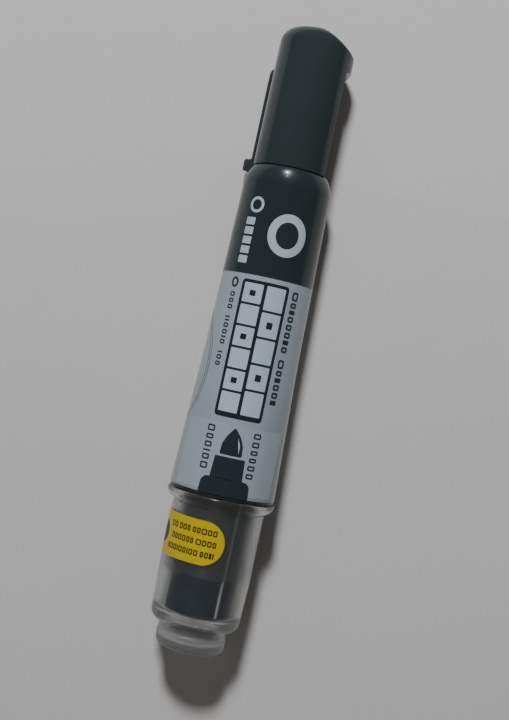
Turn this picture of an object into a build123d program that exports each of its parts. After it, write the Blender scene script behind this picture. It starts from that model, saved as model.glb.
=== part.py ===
"""Refillable whiteboard marker with a clip cap, lying on its side.

Row frame: the marker's axis is parallel to X, the cap points to +X and +Z is up. The origin is under the
middle of the marker, level with its lowest point. Stations along the axis are given as distances from the
tail end, in millimetres, and at() turns them into X. Every round piece is a profile of (station, radius)
points turned about the axis.
"""

import math
import os

from build123d import *

# ---- driving dimensions, in millimetres and degrees ----
LENGTH = 137.4  # tail end to cap end
FLANGE_R = 11.85  # widest radius, and so the height of the axis over the base
CLEARANCE = 0.08  # radial running clearance of a piece that slides on another
PAST = 1.0  # how far a cutting body passes beyond the face it cuts
CLEAR_OF_ALL = 20.0  # reach of a cutting body that clears the whole marker sideways
SAME = 0.01  # two sizes closer than this are taken as equal

CAP_MOUTH = 106.4  # station of the cap's open edge
CAP_MOUTH_R = 8.45
CAP_END_R = 8.35
CAP_BORE_R = 6.3
CAP_FLOOR = 133.0  # station of the blind end inside the cap
CAP_RIM_FILLET = 3.4
MOUTH_LIP = 0.15

FLAT_Y = 7.25  # distance from the axis of the flat on the -Y side of the cap
FLAT_END = 129.3  # station where the flat stops short of the cap's end
FLAT_RAMP_RUN = 0.9  # the slope that ends it runs this far along the axis
FLAT_RAMP_RISE = 1.3  # for this much towards -Y
SLANT_Y = 0.6  # distance from the axis, towards -Y, where the slanted part of the end begins
SLANT_SLOPE = 0.56
SLANT_FILLET = 0.5

CLIP_ANGLE = 39.0  # below horizontal, on the +Y side
CLIP_OUT_R = 10.25
CLIP_THICK = 1.2
CLIP_HALF_WIDTH = 2.2
CLIP_ROOT = 129.0
CLIP_BOSS = 3.1  # length of the boss on the cap
CLIP_BOSS_SINK = 0.8  # how deep the boss is rooted in the cap
CLIP_BOSS_FILLET = 1.4
CLIP_TIP = 105.6
CLIP_NUB = 2.7
CLIP_NUB_R = 12.25
CLIP_NUB_FILLET = 0.5
CLIP_NUB_SINK = 0.3  # how deep the nub is rooted in the arm
CLIP_TIP_STEP = 0.6  # how far the nub passes the arm's end
CLIP_GAP = 0.03  # between the boss and the arm

LINER_WALL = 0.9
LINER_START = 114.0
LINER_LIP = 2.4
LINER_LEAD = 0.6  # chamfer that leads the nib holder into the lip
LINER_LEAD_RISE = 0.5
LINER_SLOPE = 0.8  # behind the lip

BARREL_REAR = 34.5
BARREL_REAR_R = 11.645
BARREL_WAIST = 65.7  # where the taper changes
BARREL_WAIST_R = 10.42
SHOULDER = 102.3  # where the side turns in to the shoulder
SHOULDER_R = 9.65
SHOULDER_DROP = 1.5
BARREL_FRONT = CAP_MOUTH - 0.05
BARREL_WALL = 1.3
REAR_LIP = 2.0
NECK_BORE_R = 6.05

FILM = 0.15  # label film thickness
LABEL_REAR = 35.3
LABEL_FRONT = 106.3
GRADE_STICKER_FROM = 35.9
GRADE_STICKER_TO = 50.3
GRADE_STICKER_THICK = 0.08
GRADE_STICKER_HALF_ANGLE = 62.0

COLLAR_REAR = 99.0
COLLAR_FRONT = 112.0
COLLAR_BORE_R = 4.5
COLLAR_FLANGE_R = 7.35
COLLAR_FLANGE = 1.5
SNAP_R = CAP_BORE_R - CLEARANCE
SNAP_STATION = 109.0
SNAP_LENGTH = 1.2
SNAP_RAMP = 0.4
COLLAR_CHAMFER = 0.3

HOLDER_REAR = 104.0
HOLDER_FLANGE_R = 5.75
HOLDER_FLANGE = 0.8
HOLDER_LAND_R = 4.75
HOLDER_LAND_END = 118.0
HOLDER_STEP = 0.3  # step down from the land to the taper
HOLDER_STEP_RUN = 0.4
HOLDER_TIP = 122.0
HOLDER_TIP_R = 3.1
NIB_R = 2.4
NIB_REAR = 99.6
NIB_SHOULDER = 123.2
NIB_TIP = 127.0
NIB_POINT_R = 0.3
NIB_BOW = 0.66  # share of the point's length and radius where its bow is widest
NIB_GRIP_GAP = 0.02

SHEATH_R = 7.35
SHEATH_BORE_R = 6.75
SHEATH_REAR = 64.5
COMB_REAR = 69.0
COMB_FRONT = 97.4
COMB_SPINDLE_R = 2.6
COMB_FIN_R = 6.65
COMB_FINS = 18
COMB_FIN_THICK = 0.65
WICK_R = 1.2
WICK_REAR = 66.0

CARRIER_REAR = 62.0
CARRIER_R = 9.0
CARRIER_BOSS_R = 4.0
CARRIER_GRIP = 1.5  # length of the wick that the carrier holds
SPIKE_R = 1.4
SPIKE_BORE_R = 0.7
SPIKE_TIP = 55.0
SPIKE_POINT = 1.6
SPIKE_EDGE = 0.15  # wall left at the spike's open tip
SPIKE_FRONT = 65.9
SEAL_R = 3.0
SEAL_THICK = 0.8

SLEEVE_REAR = 17.0
SLEEVE_R = 9.05
SLEEVE_BORE_R = 8.2

CARTRIDGE_REAR = 7.6
CARTRIDGE_FRONT = 56.0
CARTRIDGE_R = 7.95
CARTRIDGE_WALL = 0.9
CARTRIDGE_FILLET = 1.2
CARTRIDGE_NECK_R = 3.9
CARTRIDGE_MOUTH = 61.0
CARTRIDGE_SLOPE = 2.2
CARTRIDGE_CORNER = 0.3  # share of the corner's rounding that its middle point stands in from each side
SLOPE_SHIFT = 0.5  # share of the wall by which the cavity's slope stands back
RIB_R = 8.12
RIB_HALF_WIDTH = 0.3
RIB_SINK = 0.4  # how deep a rib is rooted in the bottle's wall
RIB_ANGLES = (31.0, 121.0, 211.0, 301.0)  # measured from +Y towards +Z
RIB_REAR = 8.9
RIB_FRONT = 53.0
PLUG_REAR = 57.0
PLUG_BORE_R = SPIKE_R + CLEARANCE
INK_FRONT = 52.0
INK_GAP = 0.02

COVER_FRONT = 34.4
COVER_FLANGE = 2.0
COVER_CHAMFER = 1.0
COVER_CHAMFER_DEPTH = 0.7
COVER_FLANGE_FOOT = 0.4  # run of the slope from the tube to the flange
COVER_R = 10.15
COVER_DRAFT_FROM = 17.0
COVER_DRAFT_R = 9.75
COVER_CORNER = 5.4  # station where the wide tube has closed to the narrow end
COVER_CORNER_FILLET = 2.15
COVER_BORE_R = SLEEVE_R + 0.1
COVER_BORE_DRAFT = 0.1  # narrowing of the bore over its length
COVER_BORE_END = 8.4
COVER_BORE_FILLET = 1.0
COVER_WELL_R = 6.4
COVER_WELL_DRAFT = 0.3
COVER_WELL_REAR = 1.8
COVER_WELL_FRONT = 6.6
TAIL_R = 7.62
TAIL_WAIST_R = 7.4
TAIL_LAND = 3.4  # front of the straight land that ends the tail
TAIL_LAND_SLOPE = 0.4
TAIL_FILLET = 1.6

YELLOW_REAR = 19.9
YELLOW_FRONT = 29.3
YELLOW_THICK = 0.1
YELLOW_FROM_ANGLE = 107.0  # round end, measured from +Y towards +Z
YELLOW_TO_ANGLE = -22.0

AXIS_HEIGHT = FLANGE_R


def at(station):
    """X of a distance from the tail end."""
    return station - LENGTH / 2


def turned(points):
    """A solid turned about the marker's axis from straight-sided (station, radius) points."""
    outline = Polyline([(at(s), r) for s, r in points], close=True)
    return raised(revolve(make_face(outline), Axis.X))


def raised(solid):
    """The piece lifted so that the marker's axis is at its height over the base."""
    return Pos(0, 0, AXIS_HEIGHT) * solid


def tube(rear, front, outer, inner):
    """A plain round tube."""
    return turned([(rear, inner), (front, inner), (front, outer), (rear, outer)])


def rod(rear, front, radius):
    """A plain round bar."""
    return turned([(rear, 0), (front, 0), (front, radius), (rear, radius)])


def bar_towards(angle, stations, reach, half_width):
    """A block between two stations and two distances from the axis, in a direction measured from +Y to +Z."""
    rear, front = stations
    low, high = reach
    block = Box(front - rear, high - low, 2 * half_width)
    placed = Pos(at((rear + front) / 2), (low + high) / 2, 0) * block
    return raised(Rot(angle, 0, 0) * placed)


def barrel_outline(inset):
    """Edges of the barrel's side from the rear end to the shoulder's foot, moved in by inset."""
    rear = (at(BARREL_REAR), BARREL_REAR_R - inset)
    waist = (at(BARREL_WAIST), BARREL_WAIST_R - inset)
    shoulder = (at(SHOULDER), SHOULDER_R - inset)
    run = BARREL_FRONT - SHOULDER
    foot = (at(SHOULDER) + run, SHOULDER_R - inset - SHOULDER_DROP)
    radius = (run**2 + SHOULDER_DROP**2) / (2 * SHOULDER_DROP)
    half_turn = math.asin(run / radius) / 2
    mid = (
        at(SHOULDER) + radius * math.sin(half_turn),
        SHOULDER_R - inset - radius * (1 - math.cos(half_turn)),
    )
    return [Line(rear, waist), Line(waist, shoulder), ThreePointArc(shoulder, mid, foot)]


def spun_between(outer, inner_point_rear, inner_point_front):
    """A solid turned from a chain of edges and the two points that close it towards the axis."""
    start = outer[0] @ 0
    end = outer[-1] @ 1
    closing = Polyline((end.X, end.Y), inner_point_front, inner_point_rear, (start.X, start.Y))
    return raised(revolve(make_face(Wire(outer + closing.edges())), Axis.X))


# ---- cap ----
def cap_blank():
    """The outside of the cap before its flat, slanted end and bore."""
    blank = turned(
        [(CAP_MOUTH, 0), (LENGTH, 0), (LENGTH, CAP_END_R), (CAP_MOUTH, CAP_MOUTH_R)]
    )
    rims = blank.edges().filter_by(GeomType.CIRCLE).sort_by(Axis.X)
    blank = fillet(rims[-1], CAP_RIM_FILLET)
    rims = blank.edges().filter_by(GeomType.CIRCLE).sort_by(Axis.X)
    return fillet(rims[0], MOUTH_LIP)


def cap_flat():
    """The body cut away to leave the flat and the slope that ends it."""
    start, end = at(CAP_MOUTH) - PAST, at(FLAT_END)
    far_y = -FLAT_Y - FLAT_RAMP_RISE * CLEAR_OF_ALL
    ramp_end = end + FLAT_RAMP_RUN * CLEAR_OF_ALL
    section = Polyline((start, -FLAT_Y), (end, -FLAT_Y), (ramp_end, far_y), (start, far_y), close=True)
    return raised(extrude(make_face(section), CLEAR_OF_ALL, both=True))


def slanted_end():
    """The half space beyond the slanted part of the cap's end."""
    end, beyond = at(LENGTH), at(LENGTH) + CLEAR_OF_ALL
    far_y = -SLANT_Y - CLEAR_OF_ALL
    foot = end - SLANT_SLOPE * CLEAR_OF_ALL
    section = Polyline((end, -SLANT_Y), (foot, far_y), (beyond, far_y), (beyond, -SLANT_Y), close=True)
    return raised(extrude(make_face(section), CLEAR_OF_ALL, both=True))


def cap_shell():
    """Cap with its flat, its slanted end and the boss that the clip springs from."""
    shell = cap_blank() - slanted_end()
    slanted = shell.faces().filter_by(GeomType.PLANE).sort_by(lambda f: f.normal_at().Y)[0]
    shell = fillet(slanted.edges(), SLANT_FILLET) - cap_flat()
    reach = (CAP_END_R - CLIP_BOSS_SINK, CLIP_OUT_R)
    boss = bar_towards(-CLIP_ANGLE, (CLIP_ROOT - CLIP_BOSS, CLIP_ROOT), reach, CLIP_HALF_WIDTH)
    far = boss.faces().sort_by(Axis.X)[-1].edges()
    top = boss.faces().sort_by(lambda f: f.center().Y - f.center().Z)[-1].edges()
    boss = fillet([e for e in far if any(e.is_same(t) for t in top)], CLIP_BOSS_FILLET)
    return shell + boss - rod(CAP_MOUTH - PAST, CAP_FLOOR, CAP_BORE_R)


def cap_clip():
    """Spring arm of the clip, with the nub that grips a pocket edge."""
    inner = CLIP_OUT_R - CLIP_THICK
    front = CLIP_ROOT - CLIP_BOSS - CLIP_GAP
    arm = bar_towards(-CLIP_ANGLE, (CLIP_TIP + CLIP_TIP_STEP, front), (inner, CLIP_OUT_R), CLIP_HALF_WIDTH)
    reach = (CLIP_OUT_R - CLIP_NUB_SINK, CLIP_NUB_R)
    nub = bar_towards(-CLIP_ANGLE, (CLIP_TIP, CLIP_TIP + CLIP_NUB), reach, CLIP_HALF_WIDTH)
    nub = fillet(nub.edges().filter_by(lambda e: abs(e.tangent_at(0.5).X) < SAME), CLIP_NUB_FILLET)
    return arm + nub


def cap_liner():
    """Inner cup whose lip closes on the nib holder and keeps the nib from drying."""
    outer = CAP_BORE_R
    inner = outer - LINER_WALL
    lip = HOLDER_LAND_R + CLEARANCE
    return turned(
        [
            (LINER_START, lip + LINER_LEAD_RISE),
            (LINER_START + LINER_LEAD, lip),
            (LINER_START + LINER_LIP, lip),
            (LINER_START + LINER_LIP + LINER_SLOPE, inner),
            (CAP_FLOOR - LINER_WALL, inner),
            (CAP_FLOOR - LINER_WALL, 0),
            (CAP_FLOOR, 0),
            (CAP_FLOOR, outer),
            (LINER_START, outer),
        ]
    )


# ---- writing end ----
def nib():
    """Bullet nib of bonded fibre, with the long stem that reaches the wick."""
    stem = Line((at(NIB_REAR), NIB_R), (at(NIB_SHOULDER), NIB_R))
    tip = ThreePointArc(
        (at(NIB_SHOULDER), NIB_R),
        (at(NIB_SHOULDER + NIB_BOW * (NIB_TIP - NIB_SHOULDER)), NIB_BOW * NIB_R),
        (at(NIB_TIP), NIB_POINT_R),
    )
    return spun_between([stem, tip], (at(NIB_REAR), 0), (at(NIB_TIP), 0))


def nib_holder():
    """Tapered nose piece that grips the nib and seats the cap's liner."""
    bore = NIB_R + NIB_GRIP_GAP
    flange = COLLAR_FRONT + HOLDER_FLANGE
    return turned(
        [
            (HOLDER_REAR, bore),
            (HOLDER_TIP, bore),
            (HOLDER_TIP, HOLDER_TIP_R),
            (HOLDER_LAND_END, HOLDER_LAND_R - HOLDER_STEP),
            (HOLDER_LAND_END - HOLDER_STEP_RUN, HOLDER_LAND_R),
            (flange, HOLDER_LAND_R),
            (flange, HOLDER_FLANGE_R),
            (COLLAR_FRONT, HOLDER_FLANGE_R),
            (COLLAR_FRONT, COLLAR_BORE_R),
            (HOLDER_REAR, COLLAR_BORE_R),
        ]
    )


def front_collar():
    """Neck pressed into the barrel, with the raised ring that the cap snaps over."""
    return turned(
        [
            (COLLAR_REAR, COLLAR_BORE_R),
            (COLLAR_FRONT, COLLAR_BORE_R),
            (COLLAR_FRONT, NECK_BORE_R - COLLAR_CHAMFER),
            (COLLAR_FRONT - COLLAR_CHAMFER, NECK_BORE_R),
            (SNAP_STATION + SNAP_LENGTH, NECK_BORE_R),
            (SNAP_STATION + SNAP_LENGTH - SNAP_RAMP, SNAP_R),
            (SNAP_STATION + SNAP_RAMP, SNAP_R),
            (SNAP_STATION, NECK_BORE_R),
            (COLLAR_REAR + COLLAR_FLANGE, NECK_BORE_R),
            (COLLAR_REAR + COLLAR_FLANGE, COLLAR_FLANGE_R),
            (COLLAR_REAR, COLLAR_FLANGE_R),
        ]
    )


# ---- feed ----
def feed_sheath():
    """Inner tube that houses the comb and keeps the buffered ink off the barrel."""
    return tube(SHEATH_REAR, COLLAR_REAR, SHEATH_R, SHEATH_BORE_R)


def feed_comb():
    """Finned collector that takes up surplus ink as the air in the cartridge warms."""
    pitch = (COMB_FRONT - COMB_REAR - COMB_FIN_THICK) / (COMB_FINS - 1)
    points = [(COMB_REAR, WICK_R), (COMB_FRONT, WICK_R)]
    for index in reversed(range(COMB_FINS)):
        rear = COMB_REAR + index * pitch
        front = rear + COMB_FIN_THICK
        if index < COMB_FINS - 1:
            points.append((front, COMB_SPINDLE_R))
        points.append((front, COMB_FIN_R))
        points.append((rear, COMB_FIN_R))
        if index > 0:
            points.append((rear, COMB_SPINDLE_R))
    return turned(points)


def feed_wick():
    """Fibre rod that carries ink from the spike to the nib."""
    return rod(WICK_REAR, NIB_REAR, WICK_R)


def spike_carrier():
    """Partition across the barrel that holds the spike and closes the feed's rear end."""
    return turned(
        [
            (CARRIER_REAR, SPIKE_R),
            (SPIKE_FRONT, SPIKE_R),
            (SPIKE_FRONT, WICK_R),
            (WICK_REAR + CARRIER_GRIP, WICK_R),
            (WICK_REAR + CARRIER_GRIP, CARRIER_BOSS_R),
            (SHEATH_REAR, CARRIER_BOSS_R),
            (SHEATH_REAR, CARRIER_R),
            (CARRIER_REAR, CARRIER_R),
        ]
    )


def spike():
    """Hollow spike that opens the cartridge's plug."""
    return turned(
        [
            (SPIKE_TIP, SPIKE_BORE_R),
            (SPIKE_FRONT, SPIKE_BORE_R),
            (SPIKE_FRONT, SPIKE_R),
            (SPIKE_TIP + SPIKE_POINT, SPIKE_R),
            (SPIKE_TIP, SPIKE_BORE_R + SPIKE_EDGE),
        ]
    )


def spike_seal():
    """Rubber washer round the foot of the spike."""
    return tube(CARRIER_REAR - SEAL_THICK, CARRIER_REAR, SEAL_R, SPIKE_R)


# ---- barrel ----
def barrel():
    """Tapered outer tube with a rounded front shoulder and an inward lip at the rear."""
    body = spun_between(barrel_outline(FILM), (at(BARREL_REAR), 0), (at(BARREL_FRONT), 0))
    hollow = turned(
        [
            (BARREL_REAR + REAR_LIP, 0),
            (SHOULDER, 0),
            (SHOULDER, SHOULDER_R - FILM - BARREL_WALL),
            (BARREL_WAIST, BARREL_WAIST_R - FILM - BARREL_WALL),
            (BARREL_REAR + REAR_LIP, BARREL_REAR_R - FILM - BARREL_WALL),
        ]
    )
    neck = rod(SHOULDER - PAST, CAP_MOUTH + PAST, NECK_BORE_R)
    lip = rod(BARREL_REAR - PAST, BARREL_REAR + REAR_LIP + PAST, SLEEVE_R)
    return body - hollow - neck - lip


def label_sleeve():
    """Printed film that wraps the barrel from near its rear end over the shoulder."""
    whole = spun_between(barrel_outline(0), (at(BARREL_REAR), 0), (at(BARREL_FRONT), 0))
    core = spun_between(barrel_outline(FILM), (at(BARREL_REAR), 0), (at(BARREL_FRONT), 0))
    keep = rod(LABEL_REAR, LABEL_FRONT, FLANGE_R)
    return (whole - core) & keep


def taper_radius(station):
    """The barrel's outer radius on its rear taper."""
    share = (station - BARREL_REAR) / (BARREL_WAIST - BARREL_REAR)
    return BARREL_REAR_R + share * (BARREL_WAIST_R - BARREL_REAR_R)


def sector(rear, front, low_angle, high_angle):
    """A wedge about the axis between two angles, measured from +Y towards +Z."""
    turn = high_angle - low_angle
    slab = Polyline(
        (at(rear), 0), (at(front), 0), (at(front), 2 * FLANGE_R), (at(rear), 2 * FLANGE_R), close=True
    )
    wedge = revolve(make_face(slab), Axis.X, turn)
    return raised(Rot(low_angle, 0, 0) * wedge)


def grade_sticker():
    """Patch on the upper side of the label that shows the nib's shape."""
    start, end = GRADE_STICKER_FROM, GRADE_STICKER_TO
    low, high = taper_radius(start), taper_radius(end)
    band = turned(
        [(start, low), (end, high), (end, high + GRADE_STICKER_THICK), (start, low + GRADE_STICKER_THICK)]
    )
    return band & sector(start, end, 90 - GRADE_STICKER_HALF_ANGLE, 90 + GRADE_STICKER_HALF_ANGLE)


# ---- cartridge ----
def cartridge_sleeve():
    """Tube inside the barrel that guides the cartridge, and that the rear cover slides over."""
    return tube(SLEEVE_REAR, CARRIER_REAR, SLEEVE_R, SLEEVE_BORE_R)


def cartridge_profile(inset):
    """Points of the cartridge's outside, or of its cavity when inset is its wall."""
    rear = CARTRIDGE_REAR + inset
    round_off = CARTRIDGE_FILLET - CARTRIDGE_CORNER * inset
    radius = CARTRIDGE_R - inset
    neck = CARTRIDGE_NECK_R - inset
    return [
        (rear, 0),
        (rear, radius - round_off),
        (rear + CARTRIDGE_CORNER * round_off, radius - CARTRIDGE_CORNER * round_off),
        (rear + round_off, radius),
        (CARTRIDGE_FRONT - CARTRIDGE_SLOPE - SLOPE_SHIFT * inset, radius),
        (CARTRIDGE_FRONT - SLOPE_SHIFT * inset, neck),
        (CARTRIDGE_MOUTH, neck),
        (CARTRIDGE_MOUTH, 0),
    ]


def cartridge_body():
    """Refill bottle, open at its neck, with four fine ribs that centre it in its sleeve."""
    bottle = turned(cartridge_profile(0))
    for angle in RIB_ANGLES:
        bottle += bar_towards(angle, (RIB_REAR, RIB_FRONT), (CARTRIDGE_R - RIB_SINK, RIB_R), RIB_HALF_WIDTH)
    return bottle - turned(cartridge_profile(CARTRIDGE_WALL))


def cartridge_plug():
    """Soft plug in the cartridge's neck, opened by the spike."""
    return tube(PLUG_REAR, CARTRIDGE_MOUTH, CARTRIDGE_NECK_R - CARTRIDGE_WALL, PLUG_BORE_R)


def ink_charge():
    """The liquid ink, filling the cartridge up to an air space below its neck."""
    inside = turned(cartridge_profile(CARTRIDGE_WALL + INK_GAP))
    return inside & rod(CARTRIDGE_REAR, INK_FRONT, CARTRIDGE_R)


# ---- rear cover ----
def rear_cover():
    """Translucent cover over the cartridge: flange, wide tube and narrow closed tail."""
    flange_rear = COVER_FRONT - COVER_FLANGE
    outside = turned(
        [
            (0, 0),
            (COVER_FRONT, 0),
            (COVER_FRONT, FLANGE_R),
            (flange_rear + COVER_CHAMFER, FLANGE_R),
            (flange_rear, FLANGE_R - COVER_CHAMFER_DEPTH),
            (flange_rear - COVER_FLANGE_FOOT, COVER_R),
            (COVER_DRAFT_FROM, COVER_R),
            (COVER_CORNER, COVER_DRAFT_R),
            (COVER_CORNER, TAIL_WAIST_R),
            (TAIL_LAND + TAIL_LAND_SLOPE, TAIL_WAIST_R),
            (TAIL_LAND, TAIL_R),
            (0, TAIL_R),
        ]
    )
    circles = outside.edges().filter_by(GeomType.CIRCLE)
    corner = [e for e in circles if abs(e.radius - COVER_DRAFT_R) < SAME]
    outside = fillet(corner, COVER_CORNER_FILLET)
    circles = outside.edges().filter_by(GeomType.CIRCLE)
    end = [e for e in circles if abs(e.center().X - at(0)) < SAME]
    outside = fillet(end, TAIL_FILLET)
    hollow = turned(
        [
            (COVER_WELL_REAR, 0),
            (COVER_FRONT + PAST, 0),
            (COVER_FRONT + PAST, COVER_BORE_R),
            (COVER_BORE_END, COVER_BORE_R - COVER_BORE_DRAFT),
            (COVER_WELL_FRONT, COVER_WELL_R),
            (COVER_WELL_REAR, COVER_WELL_R - COVER_WELL_DRAFT),
        ]
    )
    rims = hollow.edges().filter_by(GeomType.CIRCLE)
    corner = [e for e in rims if abs(e.radius - COVER_BORE_R + COVER_BORE_DRAFT) < SAME]
    hollow = fillet(corner, COVER_BORE_FILLET)
    return outside - hollow


def warning_sticker():
    """Round-ended sticker on the side of the rear cover."""
    mean_r = COVER_R + YELLOW_THICK / 2
    ring = tube(YELLOW_REAR, YELLOW_FRONT, COVER_R + YELLOW_THICK, COVER_R)
    half = (YELLOW_FRONT - YELLOW_REAR) / 2
    end_turn = math.degrees(half / mean_r)
    straight = ring & sector(YELLOW_REAR, YELLOW_FRONT, YELLOW_TO_ANGLE, YELLOW_FROM_ANGLE - end_turn)
    centre = YELLOW_FROM_ANGLE - end_turn
    punch = Pos(at(YELLOW_REAR + half), 0, 0) * Cylinder(half, 4 * FLANGE_R)
    punch = raised(Rot(centre - 90, 0, 0) * punch)
    front_half = sector(YELLOW_REAR, YELLOW_FRONT, centre - end_turn / 2, centre + 2 * end_turn)
    return straight + (ring & punch & front_half)


PIECES = {
    "cap_shell": cap_shell,
    "cap_clip": cap_clip,
    "cap_liner": cap_liner,
    "nib": nib,
    "nib_holder": nib_holder,
    "front_collar": front_collar,
    "feed_sheath": feed_sheath,
    "feed_comb": feed_comb,
    "feed_wick": feed_wick,
    "spike_carrier": spike_carrier,
    "spike": spike,
    "spike_seal": spike_seal,
    "barrel": barrel,
    "label_sleeve": label_sleeve,
    "grade_sticker": grade_sticker,
    "cartridge_sleeve": cartridge_sleeve,
    "cartridge_body": cartridge_body,
    "cartridge_plug": cartridge_plug,
    "ink_charge": ink_charge,
    "rear_cover": rear_cover,
    "warning_sticker": warning_sticker,
}


def main():
    """Writes each piece to its own STEP file."""
    os.makedirs("parts", exist_ok=True)
    for name, make in PIECES.items():
        export_step(make(), f"parts/{name}.step")


main()
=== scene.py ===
"""Looks of a refillable whiteboard marker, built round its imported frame.

The marker lies along X with its cap towards +X. Pieces are modelled in millimetres on the marker's own axis,
with X as the distance from the tail end, called the station, and are put in their place in the frame last.
Prints are drawn flat, in stations and in millimetres of arc from the top of the marker, positive towards +Y,
and are then wrapped on the surface that carries them.
"""

import logging
import math
from dataclasses import dataclass
from enum import Enum
from typing import Any, Sequence

import bmesh
import bpy
from mathutils import Matrix, Vector


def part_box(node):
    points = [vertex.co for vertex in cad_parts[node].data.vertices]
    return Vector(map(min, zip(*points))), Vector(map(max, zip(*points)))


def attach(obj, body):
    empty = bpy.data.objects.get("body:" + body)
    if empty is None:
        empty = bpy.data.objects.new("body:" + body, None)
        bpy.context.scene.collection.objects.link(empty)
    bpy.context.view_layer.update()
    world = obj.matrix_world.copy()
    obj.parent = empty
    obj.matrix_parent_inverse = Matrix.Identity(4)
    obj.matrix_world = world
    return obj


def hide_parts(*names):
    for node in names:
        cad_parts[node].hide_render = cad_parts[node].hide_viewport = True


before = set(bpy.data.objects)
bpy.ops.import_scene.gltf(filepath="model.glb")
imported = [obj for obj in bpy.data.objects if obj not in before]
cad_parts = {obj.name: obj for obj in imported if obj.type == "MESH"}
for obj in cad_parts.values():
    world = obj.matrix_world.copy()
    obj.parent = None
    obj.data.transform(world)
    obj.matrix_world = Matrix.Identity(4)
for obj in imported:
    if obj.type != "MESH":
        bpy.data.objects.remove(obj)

LOG = logging.getLogger("marker")
MM = 0.001
TURN_STEPS = 176
FINE_STEPS = 192  # facets of the widest smooth pieces
NEAR = 0.01  # two sizes closer than this, in millimetres, count as the same
Point = tuple[float, float]


class Body(Enum):
    """The bodies of the frame that pieces ride on."""

    BARREL = "barrel"
    CAP = "cap"
    CLIP = "clip"
    COVER = "rear_cover"
    CARTRIDGE = "cartridge"


class Slot(Enum):
    """The record's material slots."""

    BARREL = "barrel_plastic"
    LABEL = "label_film"
    GRADE = "grade_sticker"
    BLACK = "black_plastic"
    NIB = "nib_fibre"
    FEED = "feed_plastic"
    WICK = "wick_fibre"
    SPIKE = "spike_steel"
    SEAL = "seal_rubber"
    CLEAR = "clear_plastic"
    CAP = "cap_plastic"
    LINER = "liner_plastic"
    COVER = "cover_plastic"
    YELLOW = "yellow_sticker"
    INK = "ink"


@dataclass(frozen=True)
class Spindle:
    """The marker's axis in the frame, in metres."""

    tail_x: float
    height: float

    @classmethod
    def of_frame(cls) -> "Spindle":
        """Reads the axis off the rear cover, whose flange is the widest round piece."""
        low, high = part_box("rear_cover")
        return cls(low.x, (low.z + high.z) / 2)

    def x(self, station: float) -> float:
        """X in metres of a station in millimetres."""
        return self.tail_x + station * MM

    def placing(self) -> Matrix:
        """Takes millimetres on the axis to metres in the frame."""
        return Matrix.Translation((self.tail_x, 0, self.height)) @ Matrix.Scale(MM, 4)


SPINDLE = Spindle.of_frame()


# ---- meshes ----
@dataclass(frozen=True)
class Corner:
    """A corner of a turned piece's outline, rounded off over a length of each side."""

    station: float
    radius: float
    round_off: float = 0.0
    steps: int = 5


def round_corner(mesh: bmesh.types.BMesh, vert: bmesh.types.BMVert, length: float, steps: int) -> None:
    """Rounds one corner of an outline or a flat face.

    Args:
        mesh: The mesh that holds the corner.
        vert: The corner.
        length: How far along each side the rounding starts.
        steps: Edges in the round.
    """
    bmesh.ops.bevel(
        mesh, geom=[vert], offset=length, offset_type="OFFSET", segments=steps, profile=0.5,
        affect="VERTICES", material=-1,
    )


def slice_mesh(mesh: bmesh.types.BMesh, point: Sequence[float], normal: Sequence[float], near: float) -> None:
    """Cuts a mesh along a plane, with corners nearer than a distance taken as on it, and keeps both sides."""
    geometry = mesh.verts[:] + mesh.edges[:] + mesh.faces[:]
    bmesh.ops.bisect_plane(mesh, geom=geometry, dist=near, plane_co=point, plane_no=normal)


def new_object(name: str, data: bpy.types.ID) -> bpy.types.Object:
    """Adds an object to the scene.

    Args:
        name: Its name.
        data: Its mesh, light or camera.

    Returns:
        The object.
    """
    thing = bpy.data.objects.new(name, data)
    bpy.context.scene.collection.objects.link(thing)
    return thing


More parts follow.
